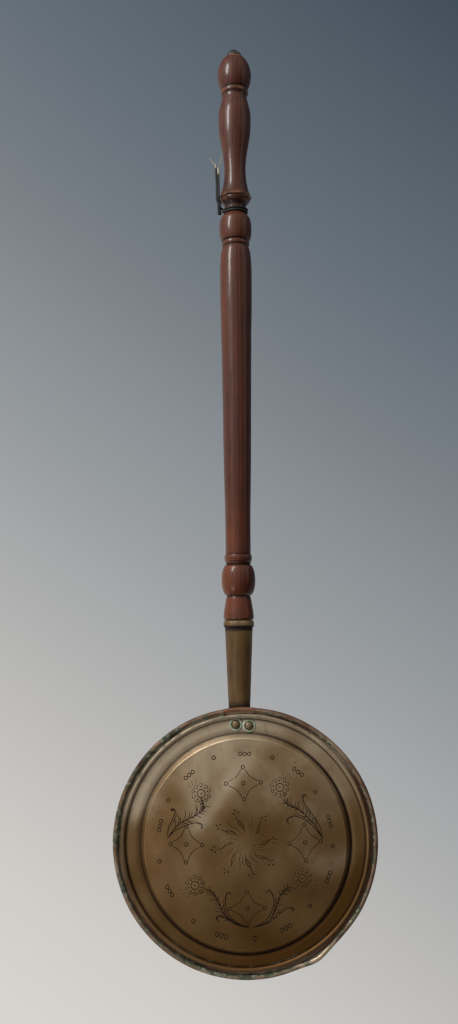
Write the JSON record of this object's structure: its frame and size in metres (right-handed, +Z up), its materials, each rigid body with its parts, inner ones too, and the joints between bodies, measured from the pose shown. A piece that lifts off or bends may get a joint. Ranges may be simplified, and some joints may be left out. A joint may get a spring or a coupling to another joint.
{
  "type": "bed warming pan",
  "caption": "Round brass ember pan with an engraved lid on a strap hinge, a riveted tapering socket and a long turned wooden handle that hangs from a wire tie.",
  "frame": {"origin": "on the handle's axis, in the neck that the wire tie holds", "axes": "+Z up the handle, +Y away from the viewer into the wall, so that the lid faces -Y"},
  "size_m": [0.2997, 0.086, 1.1049],
  "materials": {
    "pan_brass": "tarnished, verdigris in the corners",
    "lid_brass": "tarnished and worn, engraved",
    "socket_brass": "dark tarnish",
    "rivet_brass": "worn",
    "iron": "dull",
    "button_metal": "dull dark grey",
    "turned_wood": "polished, dark reddish brown",
    "tie_plastic": "black covering of the wire",
    "bared_core": "bared core of the wire"
  },
  "bodies": {
    "pan_and_handle": {"pan_body": "pan_brass", "pan_rim_wire": "iron", "socket_bracket": "socket_brass", "bracket_rivet_1": "rivet_brass", "bracket_rivet_2": "rivet_brass", "bracket_rivet_3": "rivet_brass", "bracket_rivet_4": "rivet_brass", "handle_socket": "socket_brass", "socket_nail": "iron", "handle": "turned_wood", "handle_button": "button_metal", "tie_winding": "tie_plastic", "tie_knot": "tie_plastic", "tie_tail_left": "tie_plastic", "tie_tail_right": "tie_plastic", "tie_tip_left": "bared_core", "tie_tip_right": "bared_core", "tie_strand_left": "bared_core", "tie_strand_right": "bared_core"},
    "lid": {"lid": "lid_brass", "lid_edge_wire": "iron", "hinge_strap": "pan_brass", "lid_rivet_left": "rivet_brass", "lid_rivet_right": "rivet_brass"}
  },
  "joints": [
    {"name": "lid_hinge", "type": "hinge", "parent": "pan_and_handle", "child": "lid", "pos_m": [0, -0.0218, -0.6061], "axis": [-0.9993, 0, -0.0366], "range_deg": [0, 172]}
  ]
}
